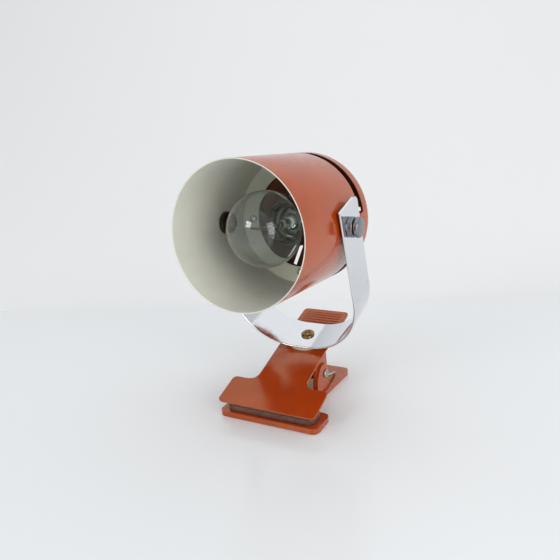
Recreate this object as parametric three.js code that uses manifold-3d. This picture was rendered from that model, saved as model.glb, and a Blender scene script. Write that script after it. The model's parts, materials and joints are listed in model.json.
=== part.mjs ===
// Clip-on spot lamp: a painted can shade on a chromed U yoke, carried by a sprung clamp.
// Millimetres, +Z up. The clamp stands on its lower lever, the shade looks along -Y.
import * as THREE from 'three';
import { mergeVertices } from 'three/addons/utils/BufferGeometryUtils.js';
import Module from 'manifold-3d';

const wasm = await Module();
wasm.setup();

// ---- driving dimensions -------------------------------------------------------------------

const GAP = 0.3;                       // air left between pieces that touch on the real lamp

// shade: a drawn can, its rim at s = 0 and its back at the end of the cap
const SHADE_R = 51;
const SHADE_WALL = 0.8;
const SHADE_LENGTH = 90.6;
const FLANGE_OPENING_R = 37.9;
const FLANGE_DEPTH = 3.8;
const VENT_WIDTH = 9.2;
const CAP_SKIRT = 6.1;
const CAP_CORNER_R = 9;
const CAP_DOME = 1.6;
const SLOT_WIDTH = 3;                  // radial vent slots in the cap's back
const SLOT_START_R = 26;
const SLOT_END_R = 43.5;
const SLOT_ANGLES = [111, 231, 351];
const TAB_WIDTH = 12;
const TAB_COUNT = 4;
const TAB_RIVET_R = 41.9;              // pitch radius of the rivets in the flange

// bulb and lampholder, along the shade's axis from the rim
const BULB_R = 27.4;
const BULB_CENTRE = 39.7;
const BULB_NECK_R = 12.9;
const BULB_CAP_START = 80;
const BULB_CAP_END = 103;
const HOLDER_FRONT = 79;
const HOLDER_R = 19.5;
const NIPPLE_R = 5;
const CORD_HOLE_R = 3.9;

// yoke: a flat strip bent to a U, standing square on the upper lever
const STRIP_WIDTH = 33;
const STRIP_T = 1.6;
const ARM_OVERRUN = 16.2;               // arm's end above the pivot
const ARM_FRONT_CORNER = 1.2;
const ARM_REAR_CORNER = 9;
const YOKE_HALF_WIDTH = 53.2;          // to the middle of the strip
const YOKE_BEND_R = 47;
const PIVOT_HEIGHT = 105.4;            // pivot axis above the strip's base
const PIVOT_SETBACK = 4.4;             // pivot ahead of the strip's centre line
const PIVOT_FROM_RIM = 63.9;
const HEAD_TILT = 19.8;                // degrees that the shade is tipped back from square to the yoke
const STUD_R = 2.4;
const KNOB_R = 7.35;
const KNOB_PROJECTION = 8.5;           // knob's edge beyond the arm's outer face

// clamp
const SHEET_T = 1.5;
const PIN_Y = 62;
const PIN_Z = 17.8;
const PIN_R = 2.4;
const JAW_HALF_WIDTH = 41.4;
const JAW_DEPTH = 25.2;
const TAIL_LENGTH = 104.4;
const LOWER_HEIGHT = 4.2;
const LOWER_EAR_X = 21.5;              // outer faces of the lower lever's ears
const UPPER_EDGE_Y = -1.8;             // upper jaw's front edge, on its top face
const UPPER_EDGE_Z = 13.95;
const UPPER_ANGLE = 18.2;              // degrees of slope of the upper lever
const HANDLE_BEND = 2.2;               // degrees that the handle falls off behind its crease
const CREASE = 66;
const HANDLE_LENGTH = 58.3;
const NECK_HALF_WIDTH = 20.8;
const UPPER_EAR_X = LOWER_EAR_X - SHEET_T - GAP;
const PAD_T = 4.4;
const SWIVEL_SETBACK = 18;             // swivel rivet behind the crease
const SWIVEL_WASHER_R = 17.5;
const SWIVEL_WASHER_T = 1.4;
const SPRING_WIRE_R = 1;
const SPRING_COIL_R = 5.2;
const SPRING_TURNS = 7;
const SPRING_PITCH = 2.4;

const ROUND = 48;                      // facets round the shade
const SMALL_ROUND = 24;                // facets round small turned pieces

const rad = THREE.MathUtils.degToRad;

// ---- finishes -----------------------------------------------------------------------------

const finish = (color, roughness, metalness) => new THREE.MeshStandardMaterial({ color, roughness, metalness });
const orangePaint = finish('#b5512b', 0.3, 0);
const chrome = finish('#c9ccd2', 0.12, 1);
const steel = finish('#9a9a98', 0.35, 1);
const brass = finish('#8f7a4c', 0.35, 1);
const bakelite = finish('#17120f', 0.35, 0);
const porcelain = finish('#e6e1d6', 0.3, 0);
const fibre = finish('#3b2419', 0.7, 0);
const nylon = finish('#cfc4a4', 0.5, 0);
const softPad = finish('#9a8478', 0.4, 0);
const clearGlass = new THREE.MeshStandardMaterial({
  color: '#eef3f2', roughness: 0.02, metalness: 0, transparent: true, opacity: 0.3
});

// ---- shape tools --------------------------------------------------------------------------

// The same geometry with shared corners, no empty triangles and its faces turned outward.
function closed(geometry) {
  const bare = geometry.clone();
  bare.deleteAttribute('normal');
  bare.deleteAttribute('uv');
  const merged = mergeVertices(bare, 1e-4);
  const at = merged.attributes.position;
  const index = merged.index.array;
  const kept = [];
  const [a, b, c] = [new THREE.Vector3(), new THREE.Vector3(), new THREE.Vector3()];
  let volume = 0;
  for (let i = 0; i < index.length; i += 3) {
    const [p, q, r] = [index[i], index[i + 1], index[i + 2]];
    if (p === q || q === r || r === p) continue;
    a.fromBufferAttribute(at, p);
    b.fromBufferAttribute(at, q);
    c.fromBufferAttribute(at, r);
    volume += a.dot(b.cross(c));
    kept.push(p, q, r);
  }
  if (volume < 0) kept.reverse();
  merged.setIndex(kept);
  return merged;
}

// A manifold solid from any closed geometry.
function solid(geometry) {
  const clean = closed(geometry);
  return new wasm.Manifold(new wasm.Mesh({
    numProp: 3,
    vertProperties: new Float32Array(clean.attributes.position.array),
    triVerts: new Uint32Array(clean.index.array)
  }));
}

function fromSolid(manifold) {
  const mesh = manifold.getMesh();
  const geometry = new THREE.BufferGeometry();
  geometry.setAttribute('position', new THREE.BufferAttribute(mesh.vertProperties, 3));
  geometry.setIndex(new THREE.BufferAttribute(mesh.triVerts, 1));
  return geometry;
}

// body with the tools cut away, as a geometry
const cut = (body, ...tools) => fromSolid(tools.reduce((rest, tool) => rest.subtract(solid(tool)), solid(body)));

// A profile of [radius, height] points turned about Z. A ring's profile closes on itself.
function turned(profile, ring = false, facets = SMALL_ROUND) {
  const points = profile.map(([r, z]) => new THREE.Vector2(r, z));
  if (ring) points.push(points[0].clone());
  return closed(new THREE.LatheGeometry(points, facets).rotateX(Math.PI / 2));
}

// A tube of inner and outer radius from z0 to z1.
const sleeve = (inner, outer, z0, z1) => turned([[inner, z0], [outer, z0], [outer, z1], [inner, z1]], true);

// Points on an arc in the profile plane, from angle a0 to a1 in degrees.
function arc(r0, z0, radius, a0, a1, steps = 5) {
  return Array.from({ length: steps + 1 }, (_, i) => {
    const a = rad(a0 + (a1 - a0) * i / steps);
    return [r0 + radius * Math.cos(a), z0 + radius * Math.sin(a)];
  });
}

// A closed outline through corners [x, y, fillet radius].
function outline(corners) {
  const shape = new THREE.Shape();
  corners.forEach(([x, y, fillet], i) => {
    const corner = new THREE.Vector2(x, y);
    const before = corners.at(i - 1);
    const after = corners[(i + 1) % corners.length];
    const inward = new THREE.Vector2(before[0] - x, before[1] - y).normalize();
    const outward = new THREE.Vector2(after[0] - x, after[1] - y).normalize();
    const half = Math.acos(inward.dot(outward)) / 2;
    const reach = fillet / Math.tan(half);
    const start = corner.clone().addScaledVector(inward, reach);
    const end = corner.clone().addScaledVector(outward, reach);
    if (i === 0) shape.moveTo(start.x, start.y);
    else shape.lineTo(start.x, start.y);
    if (fillet > 0) shape.quadraticCurveTo(x, y, end.x, end.y);
  });
  return shape;
}

// The corners of a counter-clockwise outline, moved inward by the wall's thickness.
function inset(corners, wall) {
  const edges = corners.map(([x, y], i) => {
    const [nx, ny] = corners[(i + 1) % corners.length];
    const along = new THREE.Vector2(nx - x, ny - y).normalize();
    return { from: new THREE.Vector2(x - along.y * wall, y + along.x * wall), along };
  });
  return corners.map(([, , fillet], i) => {
    const before = edges.at(i - 1);
    const after = edges[i];
    const turn = before.along.cross(after.along);
    const t = new THREE.Vector2().subVectors(after.from, before.from).cross(after.along) / turn;
    const at = before.from.clone().addScaledVector(before.along, t);
    return [at.x, at.y, turn > 0 ? Math.max(fillet - wall, 0.5) : fillet + wall];
  });
}

// A flat sheet of the outline, from z = 0 down to -thickness.
function sheet(shape, thickness, curveSegments = 6) {
  const options = { depth: thickness, bevelEnabled: false, curveSegments };
  return new THREE.ExtrudeGeometry(shape, options).translate(0, 0, -thickness);
}

// A sheet standing in the YZ plane, from x0 to x1; its outline's corners are [y, z, fillet].
function upright(corners, x0, x1) {
  const options = { depth: x1 - x0, bevelEnabled: false, curveSegments: 5 };
  const geometry = new THREE.ExtrudeGeometry(outline(corners), options);
  const axes = new THREE.Matrix4().makeBasis(
    new THREE.Vector3(0, 1, 0), new THREE.Vector3(0, 0, 1), new THREE.Vector3(1, 0, 0));
  return geometry.applyMatrix4(axes).translate(x0, 0, 0);
}

// A round bar or a drill along X.
const crossBar = (radius, x0, x1, y, z) =>
  new THREE.CylinderGeometry(radius, radius, x1 - x0, SMALL_ROUND).rotateZ(-Math.PI / 2).translate((x0 + x1) / 2, y, z);

const drill = (radius, depth, x, y, z) =>
  new THREE.CylinderGeometry(radius, radius, depth, SMALL_ROUND).rotateX(Math.PI / 2).translate(x, y, z);

// A wire or rod along a curve.
function wire(path, radius, steps, sides = 6) {
  const section = new THREE.Shape();
  for (let i = 0; i < sides; i++) {
    const a = 2 * Math.PI * i / sides;
    if (i === 0) section.moveTo(radius, 0);
    else section.lineTo(radius * Math.cos(a), radius * Math.sin(a));
  }
  return new THREE.ExtrudeGeometry(section, { steps, bevelEnabled: false, extrudePath: path });
}

function part(name, geometry, material, parent) {
  const mesh = new THREE.Mesh(closed(geometry), material);
  mesh.name = name;
  parent.add(mesh);
  return mesh;
}

// ---- frames -------------------------------------------------------------------------------

const lamp = new THREE.Group();

// Upper lever: its origin is the front edge's middle, Y runs up the sheet and Z stands off it.
const upperFrame = new THREE.Group();
upperFrame.position.set(0, UPPER_EDGE_Y, UPPER_EDGE_Z);
upperFrame.rotation.x = rad(UPPER_ANGLE);
lamp.add(upperFrame);

// Handle: from the crease, falling off by the bend.
const handleFrame = new THREE.Group();
handleFrame.position.set(0, CREASE, 0);
handleFrame.rotation.x = -rad(HANDLE_BEND);
upperFrame.add(handleFrame);

// Yoke: Z is the swivel axis and the strip's middle is at z = 0 over the rivet.
const YOKE_STANDOFF = STRIP_T / 2 + SWIVEL_WASHER_T + 0.4;
const yokeFrame = new THREE.Group();
yokeFrame.position.set(0, SWIVEL_SETBACK, YOKE_STANDOFF);
handleFrame.add(yokeFrame);

// Head: Z is the shade's axis, running back from the centre of the rim.
const tiltFrame = new THREE.Group();
tiltFrame.position.set(0, -PIVOT_SETBACK, PIVOT_HEIGHT);
tiltFrame.rotation.x = -rad(90 + HEAD_TILT);
yokeFrame.add(tiltFrame);
const headFrame = new THREE.Group();
headFrame.position.z = -PIVOT_FROM_RIM;
tiltFrame.add(headFrame);

// ---- lower lever: jaw, tail and ears, with a turned-down edge all round ---------------------

function lowerLever() {
  const corners = [
    [-JAW_HALF_WIDTH, 0, 6],
    [JAW_HALF_WIDTH, 0, 6],
    [JAW_HALF_WIDTH, JAW_DEPTH, 6],
    [LOWER_EAR_X, JAW_DEPTH, 5],
    [24.6, TAIL_LENGTH, 5],
    [-24.6, TAIL_LENGTH, 5],
    [-LOWER_EAR_X, JAW_DEPTH, 5],
    [-JAW_HALF_WIDTH, JAW_DEPTH, 6]
  ];
  const ear = [
    [46.5, LOWER_HEIGHT - 1, 0],
    [46.8, 17, 6],
    [54, 26.9, 5],
    [64, 26.9, 5],
    [67.4, 20, 5],
    [67, LOWER_HEIGHT - 1, 0]
  ];
  const tray = sheet(outline(corners), LOWER_HEIGHT).translate(0, 0, LOWER_HEIGHT);
  const hollow = sheet(outline(inset(corners, SHEET_T)), LOWER_HEIGHT).translate(0, 0, LOWER_HEIGHT - SHEET_T);
  let body = solid(tray).subtract(solid(hollow));
  for (const side of [-1, 1]) {
    const x0 = side < 0 ? -LOWER_EAR_X : LOWER_EAR_X - SHEET_T;
    body = body.add(solid(upright(ear, x0, x0 + SHEET_T)));
  }
  return body.subtract(solid(crossBar(PIN_R + GAP, -30, 30, PIN_Y, PIN_Z)));
}
part('lower_lever', fromSolid(lowerLever()), orangePaint, lamp);

const padCorners = (halfWidth, y0, y1) =>
  [[-halfWidth, y0, 7], [halfWidth, y0, 7], [halfWidth, y1, 7], [-halfWidth, y1, 7]];

part('lower_pad',
  sheet(outline(padCorners(36.5, 3, 22)), PAD_T).translate(0, 0, LOWER_HEIGHT + 0.1 + PAD_T), softPad, lamp);

// ---- upper lever: jaw, neck and ribbed handle, with ears turned down inside the lower ones --

function upperLever() {
  const jaw = outline([
    [-40.7, 0, 4],
    [40.7, 0, 4],
    [40.7, 27.4, 4],
    [NECK_HALF_WIDTH, 27.4, 8],
    [NECK_HALF_WIDTH, CREASE + 0.2, 0],
    [-NECK_HALF_WIDTH, CREASE + 0.2, 0],
    [-NECK_HALF_WIDTH, 27.4, 8],
    [-40.7, 27.4, 4]
  ]);
  const handle = outline([
    [-NECK_HALF_WIDTH, 0, 0],
    [NECK_HALF_WIDTH, 0, 0],
    [NECK_HALF_WIDTH, HANDLE_LENGTH, 4],
    [-NECK_HALF_WIDTH, HANDLE_LENGTH, 4]
  ]);
  const ear = [
    [53, -0.5, 0],
    [44, -15.5, 3],
    [45, -21.5, 3],
    [57, -24.5, 4],
    [69, -22.5, 5],
    [70.5, -13, 4],
    [73.5, -0.5, 0]
  ];
  const rivet = drill(3.5, 20, 0, SWIVEL_SETBACK, 0);
  let grip = solid(sheet(handle, SHEET_T)).subtract(solid(rivet));
  const ribs = 6;
  for (let i = 0; i < ribs; i++) {
    const rib = new THREE.CylinderGeometry(0.9, 0.9, 2 * NECK_HALF_WIDTH - 9, 8).rotateZ(Math.PI / 2);
    grip = grip.add(solid(rib.translate(0, HANDLE_LENGTH - 4.5 - 3.4 * i, -0.45)));
  }
  const onUpper = new THREE.Matrix4().makeRotationX(-rad(HANDLE_BEND)).setPosition(0, CREASE, 0);
  let body = solid(sheet(jaw, SHEET_T)).add(solid(fromSolid(grip).applyMatrix4(onUpper)));
  for (const side of [-1, 1]) {
    const x0 = side < 0 ? -UPPER_EAR_X : UPPER_EAR_X - SHEET_T;
    body = body.add(solid(upright(ear, x0, x0 + SHEET_T)));
  }
  const pin = new THREE.Vector3(0, PIN_Y, PIN_Z).sub(upperFrame.position);
  pin.applyAxisAngle(new THREE.Vector3(1, 0, 0), -rad(UPPER_ANGLE));
  return body.subtract(solid(crossBar(PIN_R + GAP, -30, 30, pin.y, pin.z)));
}
part('upper_lever', fromSolid(upperLever()), orangePaint, upperFrame);

part('upper_pad', sheet(outline(padCorners(37.5, 2.5, 24.5)), PAD_T).translate(0, 0, -SHEET_T - 0.1), softPad, upperFrame);

// ---- hinge pin and spring -------------------------------------------------------------------

const pinHead = LOWER_EAR_X + GAP;
part('hinge_pin',
  turned([
    [0, -pinHead - 1.4], [2.6, -pinHead - 1.4], [3.6, -pinHead - 0.8], [3.6, -pinHead], [PIN_R, -pinHead],
    [PIN_R, pinHead], [3.6, pinHead], [3.6, pinHead + 0.8], [2.6, pinHead + 1.4], [0, pinHead + 1.4]
  ]).rotateY(Math.PI / 2).translate(0, PIN_Y, PIN_Z),
  steel, lamp);

// A torsion spring: a leg along the tail, the coil on the pin, and a leg up under the handle.
class SpringPath extends THREE.Curve {
  constructor() {
    super();
    const centre = new THREE.Vector2(PIN_Y, PIN_Z);
    const onTail = new THREE.Vector2(90, LOWER_HEIGHT + SPRING_WIRE_R + GAP);
    const underHandle = new THREE.Vector3(0, 95, -SHEET_T - 1.5 - SPRING_WIRE_R - GAP);
    underHandle.applyAxisAngle(new THREE.Vector3(1, 0, 0), rad(UPPER_ANGLE)).add(upperFrame.position);
    const onHandle = new THREE.Vector2(underHandle.y, underHandle.z);
    const tangent = (end, side) => {
      const away = end.clone().sub(centre);
      return away.angle() + side * Math.acos(SPRING_COIL_R / away.length());
    };
    this.start = tangent(onTail, -1);
    const finishAngle = tangent(onHandle, 1);
    const sweep = ((this.start - finishAngle) % (2 * Math.PI) + 2 * Math.PI) % (2 * Math.PI);
    this.turn = sweep + 2 * Math.PI * SPRING_TURNS;
    this.coilStart = UPPER_EAR_X - SHEET_T - SPRING_WIRE_R - GAP;
    this.coilEnd = this.coilStart - SPRING_PITCH * this.turn / (2 * Math.PI);
    this.legs = [onTail, onHandle];
    this.share = 0.08;                 // part of the curve's run given to each leg
  }

  onCoil(k) {
    const a = this.start - this.turn * k;
    const x = THREE.MathUtils.lerp(this.coilStart, this.coilEnd, k);
    return new THREE.Vector3(x, PIN_Y + SPRING_COIL_R * Math.cos(a), PIN_Z + SPRING_COIL_R * Math.sin(a));
  }

  getPoint(t) {
    if (t < this.share) {
      const end = new THREE.Vector3(this.coilStart, this.legs[0].x, this.legs[0].y);
      return end.lerp(this.onCoil(0), t / this.share);
    }
    if (t > 1 - this.share) {
      const end = new THREE.Vector3(this.coilEnd, this.legs[1].x, this.legs[1].y);
      return end.lerp(this.onCoil(1), (1 - t) / this.share);
    }
    return this.onCoil((t - this.share) / (1 - 2 * this.share));
  }
}
const springPath = new SpringPath();
springPath.arcLengthDivisions = 1200;
part('torsion_spring', wire(springPath, SPRING_WIRE_R, 124), steel, lamp);

// ---- yoke and its swivel --------------------------------------------------------------------

function yokeStrip() {
  const straight = PIVOT_HEIGHT + 30;
  const bendX = YOKE_HALF_WIDTH - YOKE_BEND_R;
  const [outer, inner] = [YOKE_BEND_R + STRIP_T / 2, YOKE_BEND_R - STRIP_T / 2];
  const u = new THREE.Shape();
  u.moveTo(-bendX - outer, straight);
  u.absarc(-bendX, YOKE_BEND_R, outer, Math.PI, 1.5 * Math.PI, false);
  u.absarc(bendX, YOKE_BEND_R, outer, 1.5 * Math.PI, 2 * Math.PI, false);
  u.lineTo(bendX + outer, straight);
  u.lineTo(bendX + inner, straight);
  u.absarc(bendX, YOKE_BEND_R, inner, 2 * Math.PI, 1.5 * Math.PI, true);
  u.absarc(-bendX, YOKE_BEND_R, inner, 1.5 * Math.PI, Math.PI, true);
  u.lineTo(-bendX - inner, straight);
  const bent = new THREE.ExtrudeGeometry(u, { depth: STRIP_WIDTH, bevelEnabled: false, curveSegments: 18 })
    .rotateX(Math.PI / 2).translate(0, STRIP_WIDTH / 2, 0);
  const half = STRIP_WIDTH / 2;
  const ends = upright([
    [-half, -10, 0],
    [half, -10, 0],
    [half, PIVOT_HEIGHT + ARM_OVERRUN, ARM_REAR_CORNER],
    [-half, PIVOT_HEIGHT + ARM_OVERRUN, ARM_FRONT_CORNER]
  ], -70, 70);
  return solid(bent).intersect(solid(ends))
    .subtract(solid(crossBar(STUD_R + GAP, -70, 70, -PIVOT_SETBACK, PIVOT_HEIGHT)))
    .subtract(solid(drill(3.5, 10, 0, 0, 0)));
}
part('yoke', fromSolid(yokeStrip()), chrome, yokeFrame);

const stripTop = STRIP_T / 2 + 0.2;
const leverTop = -YOKE_STANDOFF;
const leverUnder = leverTop - SHEET_T;
part('swivel_rivet',
  turned([
    [2.1, stripTop + 1.5], [3, stripTop + 2], [4.6, stripTop + 1.7], [5.5, stripTop + 0.8], [5.5, stripTop],
    [3.2, stripTop], [3.2, leverUnder - 0.2], [4.8, leverUnder - 0.2], [4.8, leverUnder - 0.9], [2.1, leverUnder - 1.3]
  ], true),
  brass, yokeFrame);
part('swivel_washer',
  turned([
    [3.5, leverTop + 0.2], [SWIVEL_WASHER_R, leverTop + 0.2], [SWIVEL_WASHER_R, leverTop + 0.2 + SWIVEL_WASHER_T],
    [3.5, leverTop + 0.2 + SWIVEL_WASHER_T]
  ], true, 36),
  nylon, yokeFrame);

// ---- pivots: a stud with a knob, a collar and a spacer outside, a washer and a nut inside ----

// Each profile runs outward from the shade's middle along X, as [radius, x].
const armInside = YOKE_HALF_WIDTH - STRIP_T / 2;
const armOutside = YOKE_HALF_WIDTH + STRIP_T / 2;
const collarStart = armOutside + GAP;
const knobStart = collarStart + 4.3;
const knobEnd = armOutside + KNOB_PROJECTION;
const nutFace = SHADE_R - SHADE_WALL - 4.1;
for (const [side, sign] of [['right', 1], ['left', -1]]) {
  const aside = (geometry) => geometry.rotateY(sign * Math.PI / 2).translate(0, 0, PIVOT_FROM_RIM);
  const onArm = (geometry) => geometry.rotateY(sign * Math.PI / 2).translate(0, -PIVOT_SETBACK, PIVOT_HEIGHT);
  part(`pivot_spacer_${side}`, onArm(sleeve(STUD_R + GAP, 7, SHADE_R + 0.15, armInside - 0.2)), fibre, yokeFrame);
  part(`pivot_collar_${side}`,
    onArm(turned([
      [STUD_R + GAP, collarStart], [KNOB_R - 0.5, collarStart], [KNOB_R, collarStart + 0.5],
      [KNOB_R, collarStart + 3.3], [KNOB_R - 0.7, collarStart + 4], [STUD_R + GAP, collarStart + 4]
    ], true)),
    chrome, yokeFrame);
  part(`pivot_knob_${side}`,
    aside(turned([
      [0, nutFace - 4.4], [STUD_R - 0.5, nutFace - 4.4], [STUD_R, nutFace - 3.9], [STUD_R, knobStart], [5.4, knobStart], [5.4, knobStart + 1],
      [KNOB_R - 0.5, knobStart + 1], [KNOB_R, knobStart + 1.5], ...arc(KNOB_R - 1.2, knobEnd - 1.2, 1.2, 0, 90, 3),
      [0, knobEnd + 0.3]
    ])),
    chrome, headFrame);
  part(`pivot_washer_${side}`, aside(sleeve(STUD_R + GAP, 8.4, nutFace, nutFace + 3.2)), fibre, headFrame);
  const nut = new THREE.CylinderGeometry(4.6, 4.6, 3.4, 6).rotateX(Math.PI / 2).translate(0, 0, nutFace - GAP - 1.7);
  part(`pivot_nut_${side}`, aside(cut(nut, drill(STUD_R + GAP, 10, 0, 0, nutFace - 2))), brass, headFrame);
}

// ---- shade: the can and its turned-in flange --------------------------------------------------

// The flange is a shallow cone. Its front face starts at the can's inner corner.
const innerR = SHADE_R - SHADE_WALL;
const flangeSlope = FLANGE_DEPTH / (innerR - 0.9 - FLANGE_OPENING_R);
const flangeFront = (r) => SHADE_LENGTH + 0.5 + (innerR - 0.9 - r) * flangeSlope;
const flangeBack = (r) => flangeFront(r) + SHADE_WALL + 0.05;

const tabAngles = Array.from({ length: TAB_COUNT }, (_, i) => 2 * Math.PI * i / TAB_COUNT);
const flangeTilt = Math.atan(flangeSlope);

// A tool or a rivet set square on the flange at a tab's angle.
function onFlange(geometry, angle) {
  return geometry.rotateY(flangeTilt).translate(TAB_RIVET_R, 0, flangeFront(TAB_RIVET_R)).rotateZ(angle);
}

const canProfile = [
  [SHADE_R, 0],
  ...arc(SHADE_R - 1.3, SHADE_LENGTH, 1.3, 0, 75, 4),
  [FLANGE_OPENING_R, flangeBack(FLANGE_OPENING_R)],
  [FLANGE_OPENING_R, flangeFront(FLANGE_OPENING_R)],
  [innerR - 0.9, flangeFront(innerR - 0.9)],
  [innerR, SHADE_LENGTH - 0.6],
  [innerR, 0]
];
part('shade_can',
  cut(turned(canProfile, true, ROUND),
    crossBar(STUD_R + GAP, -60, 60, 0, PIVOT_FROM_RIM),
    ...tabAngles.map((angle) => onFlange(drill(1.9, 8, 0, 0, 0), angle))),
  orangePaint, headFrame);

// ---- rear cap: a shallow dish with four tabs that bridge the vent to the flange ---------------

const capFront = SHADE_LENGTH + VENT_WIDTH;
const capBack = capFront + CAP_SKIRT + CAP_CORNER_R;

function rearCap() {
  const corner = SHADE_R - CAP_CORNER_R;
  const dish = turned([
    [SHADE_R, capFront],
    ...arc(corner, capFront + CAP_SKIRT, CAP_CORNER_R, 0, 90),
    [NIPPLE_R + GAP, capBack + CAP_DOME],
    [NIPPLE_R + GAP, capBack + CAP_DOME - SHADE_WALL],
    ...arc(corner, capFront + CAP_SKIRT, CAP_CORNER_R - SHADE_WALL, 90, 0),
    [innerR, capFront]
  ], true, ROUND);
  const foot = (r) => flangeBack(r) + GAP;
  const tabRing = turned([
    [SHADE_R, capFront + 1],
    [SHADE_R, foot(innerR) + 0.9],
    [innerR, foot(innerR)],
    [FLANGE_OPENING_R + 0.8, foot(FLANGE_OPENING_R + 0.8)],
    [FLANGE_OPENING_R + 0.8, foot(FLANGE_OPENING_R + 0.8) + 0.9],
    [innerR - 0.7, foot(innerR - 0.7) + 0.9],
    [innerR, foot(innerR) + 1.7],
    [innerR, capFront + 1]
  ], true, ROUND);
  let body = solid(dish);
  const ring = solid(tabRing);
  for (const angle of tabAngles) {
    const slice = new THREE.BoxGeometry(30, TAB_WIDTH, 30).translate(SHADE_R - 5, 0, capFront).rotateZ(angle);
    const hole = onFlange(drill(1.9, 10, 0, 0, 1), angle);
    body = body.add(ring.intersect(solid(slice)).subtract(solid(hole)));
  }
  for (const angle of SLOT_ANGLES) {
    const slot = new THREE.BoxGeometry(SLOT_END_R - SLOT_START_R, SLOT_WIDTH, 10)
      .translate((SLOT_START_R + SLOT_END_R) / 2, 0, capBack).rotateZ(rad(angle));
    body = body.subtract(solid(slot));
  }
  return body;
}
part('rear_cap', fromSolid(rearCap()), orangePaint, headFrame);

// Rivets: a round head on the flange's front face, and a closing head behind the tab.
tabAngles.forEach((angle, i) => {
  const rivet = turned([
    [0, -1.5], [1.4, -1.4], [2.5, -0.9], [2.9, -0.25], [1.6, -0.2], [1.6, 2.6], [2.6, 2.6], [2.4, 3.3], [0, 3.6]
  ], false, 16);
  part(`cap_rivet_${i + 1}`, onFlange(rivet, angle), steel, headFrame);
});

// ---- cord inlet and lampholder ----------------------------------------------------------------

const capHoleOut = capBack + CAP_DOME;
part('nipple', sleeve(CORD_HOLE_R, NIPPLE_R - 0.05, capHoleOut - 5.2, capHoleOut + 9), steel, headFrame);
const lockNut = new THREE.CylinderGeometry(8, 8, 3, 6).rotateX(Math.PI / 2).translate(0, 0, capHoleOut + 0.2 + 1.5);
part('nipple_nut', cut(lockNut, drill(NIPPLE_R + 0.2, 10, 0, 0, capHoleOut + 2)), steel, headFrame);
part('cord_bushing',
  turned([
    [NIPPLE_R + 0.2, capHoleOut + 3.5], [7.6, capHoleOut + 3.5], [7.6, capHoleOut + 8], [6.2, capHoleOut + 12],
    [CORD_HOLE_R, capHoleOut + 12], [CORD_HOLE_R, capHoleOut + 9.4], [NIPPLE_R + 0.2, capHoleOut + 9.4]
  ], true),
  bakelite, headFrame);

const domeBack = capHoleOut - SHADE_WALL - 0.5;
const holderJoint = 98;
part('holder_dome',
  turned([
    [NIPPLE_R + 0.2, domeBack], [10, domeBack], ...arc(HOLDER_R - 5, domeBack - 5, 5, 90, 0, 4),
    [HOLDER_R, holderJoint + GAP], [HOLDER_R - 2.2, holderJoint + GAP],
    [HOLDER_R - 2.2, domeBack - 3.4], [NIPPLE_R + 0.2, domeBack - 3.4]
  ], true, 32),
  bakelite, headFrame);
part('holder_skirt',
  turned([
    [15, HOLDER_FRONT], [HOLDER_R - 0.8, HOLDER_FRONT], [HOLDER_R, HOLDER_FRONT + 0.8], [HOLDER_R, holderJoint],
    [15, holderJoint]
  ], true, 32),
  bakelite, headFrame);
const insertFront = 108;
part('holder_insert', sleeve(3, 16.6, insertFront, insertFront + 2.8), porcelain, headFrame);
part('screw_shell', turned([[13.6, 83], [14.1, 83], [14.1, 107.6], [13.6, 107.6]], true, 32), brass, headFrame);
part('centre_contact',
  sheet(outline([[-9, -2.5, 1], [9, -2.5, 1], [9, 2.5, 1], [-9, 2.5, 1]]), 0.5).translate(0, 0, insertFront - 0.3),
  brass, headFrame);
for (const [i, y] of [[1, -9], [2, 9]]) {
  part(`terminal_screw_${i}`, drill(2, 1.6, 0, y, insertFront - 1), brass, headFrame);
}

// ---- bulb: globe, mount, filament and screw cap -------------------------------------------------

// The globe is a ball that runs by a smooth waist into the neck.
function globeProfile(radius, neck, tip) {
  const ball = arc(0, BULB_CENTRE, radius, -90, 38, 11);
  ball[0] = [0, tip];
  const [r0, z0] = ball.at(-1);
  const waist = new THREE.CubicBezierCurve(
    new THREE.Vector2(r0, z0), new THREE.Vector2(r0 - 4.5, z0 + 5.7),
    new THREE.Vector2(neck, BULB_CAP_START - 13), new THREE.Vector2(neck, BULB_CAP_START - 3)
  ).getPoints(5).map((p) => [p.x, p.y]);
  return [...ball, ...waist.slice(1), [neck, BULB_CAP_START + 3]];
}
const glassT = 0.7;
part('bulb_glass',
  turned([
    ...globeProfile(BULB_R, BULB_NECK_R - 0.4, BULB_CENTRE - BULB_R),
    ...globeProfile(BULB_R - glassT, BULB_NECK_R - 0.4 - glassT, BULB_CENTRE - BULB_R + glassT).reverse()
  ]),
  clearGlass, headFrame);
part('bulb_stem',
  turned([
    [0, 53], [1.6, 53.6], [2.2, 56], [2.4, 62], [3.4, 68], [3.6, 74], [6.5, 79], [10.6, 82.4], [10.6, 83.2], [0, 83.2]
  ], false, 16),
  clearGlass, headFrame);

// The filament is a shallow arch held out on the lead wires ahead of the stem.
const arch = (x0, z0, rise) => new THREE.QuadraticBezierCurve3(
  new THREE.Vector3(-x0, 0, z0), new THREE.Vector3(0, 0, z0 - 2 * rise), new THREE.Vector3(x0, 0, z0));
part('filament', wire(arch(12.5, 40, 2.5), 0.5, 16), steel, headFrame);
for (const [i, sign] of [[1, -1], [2, 1]]) {
  const lead = new THREE.LineCurve3(new THREE.Vector3(sign * 2.6, 0, 56), new THREE.Vector3(sign * 12.6, 0, 41));
  part(`lead_wire_${i}`, wire(lead, 0.35, 1), steel, headFrame);
  const support = new THREE.LineCurve3(new THREE.Vector3(sign * 0.8, 0, 52.6), new THREE.Vector3(sign * 5, 0, 39.6));
  part(`support_wire_${i}`, wire(support, 0.25, 1), steel, headFrame);
}

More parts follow.
